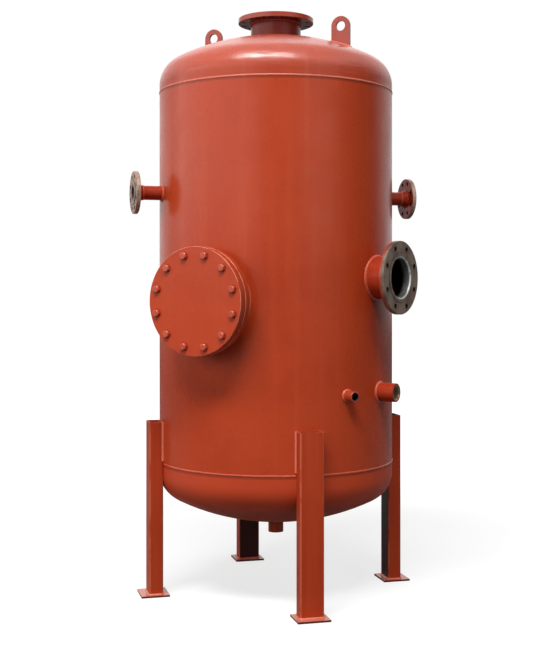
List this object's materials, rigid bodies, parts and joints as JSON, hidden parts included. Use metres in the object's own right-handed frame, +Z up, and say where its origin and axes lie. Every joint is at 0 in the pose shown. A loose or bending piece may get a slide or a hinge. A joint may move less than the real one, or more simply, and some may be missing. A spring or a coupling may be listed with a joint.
{
  "type": "blowdown tank",
  "caption": "Upright welded blowdown tank with dished ends on legs, with a top vent flange, bolted manway, flanged outlet, side nozzles, drain and lifting lugs.",
  "frame": {"origin": "on the tank axis at floor level, under the foot plates", "axes": "+Z up along the tank axis, -Y towards the manway, +X towards the outlet side"},
  "size_m": [1.1365, 1.1621, 2.485],
  "materials": {
    "red_primer": "matt red-oxide primer",
    "bare_steel": "bare machined steel, slightly rusted",
    "gasket": "matt sheet gasket"
  },
  "bodies": {
    "root": {"shell_front": "red_primer", "shell_front_right": "red_primer", "shell_right": "red_primer", "shell_back_right": "red_primer", "shell_back": "red_primer", "shell_back_left": "red_primer", "shell_left": "red_primer", "shell_front_left": "red_primer", "top_head": "red_primer", "bottom_head": "red_primer", "top_seam_weld": "red_primer", "bottom_seam_weld": "red_primer", "vent_welds": "red_primer", "nozzle_welds": "red_primer", "lug_welds": "red_primer", "leg_welds": "red_primer", "foot_welds": "red_primer", "vent_neck": "red_primer", "vent_flange": "red_primer", "lug_right": "red_primer", "lug_left": "red_primer", "manway_neck": "red_primer", "manway_flange": "red_primer", "manway_gasket": "gasket", "manway_cover": "red_primer", "outlet_neck": "red_primer", "outlet_flange": "bare_steel", "left_pipe": "red_primer", "left_flange": "bare_steel", "right_pipe": "red_primer", "right_flange": "bare_steel", "gauge_stub": "red_primer", "drain_socket": "red_primer", "bottom_drain": "red_primer", "leg_front_right": "red_primer", "leg_back_right": "red_primer", "leg_back_left": "red_primer", "leg_front_left": "red_primer", "foot_front_right": "red_primer", "foot_back_right": "red_primer", "foot_back_left": "red_primer", "foot_front_left": "red_primer"}
  },
  "joints": []
}
